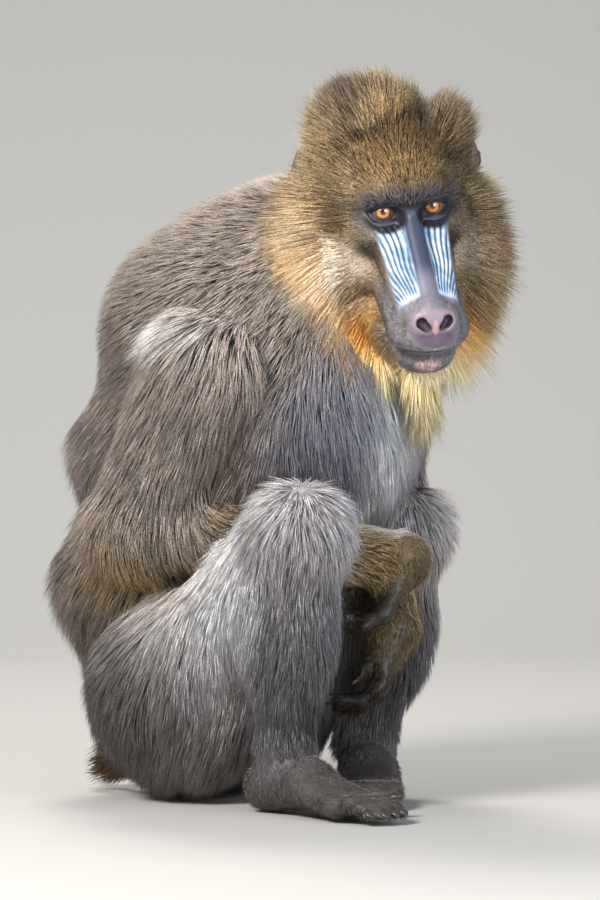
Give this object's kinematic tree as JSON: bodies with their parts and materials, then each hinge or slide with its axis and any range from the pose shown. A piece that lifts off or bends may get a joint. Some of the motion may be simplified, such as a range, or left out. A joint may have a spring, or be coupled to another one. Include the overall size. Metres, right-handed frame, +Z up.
{
  "type": "sitting mandrill",
  "caption": "Life-size still model of a young mandrill that sits on its haunches with its hands between its knees and its head turned.",
  "frame": {"origin": "on the floor, at the middle of the box that holds the animal", "axes": "+Z up; the lower body faces -Y and the animal's right side is at -X; the head is turned about 42 degrees towards its right"},
  "size_m": [0.3286, 0.4238, 0.6118],
  "materials": {
    "head": "matte, long golden-olive fur with a bare face",
    "ear": "matte skin",
    "neck": "matte, long grey-brown fur",
    "torso": "matte, long grey fur",
    "upper_arm": "matte, long brown-grey fur",
    "forearm": "matte, short olive fur",
    "hand": "matte, dark skin and short olive fur",
    "thigh": "matte, silver-grey fur",
    "shin": "matte, silver-grey fur",
    "foot": "matte, dark skin and short fur",
    "tail": "matte, brown fur",
    "eye": "wet gloss"
  },
  "bodies": {
    "root": {"head": "head", "neck": "neck", "torso": "torso", "tail": "tail", "ear_right": "ear", "ear_left": "ear", "eye_right": "eye", "eye_left": "eye", "upper_arm_right": "upper_arm", "upper_arm_left": "upper_arm", "forearm_right": "forearm", "forearm_left": "forearm", "hand_right": "hand", "hand_left": "hand", "thigh_right": "thigh", "thigh_left": "thigh", "shin_right": "shin", "shin_left": "shin", "foot_right": "foot", "foot_left": "foot"}
  },
  "joints": []
}
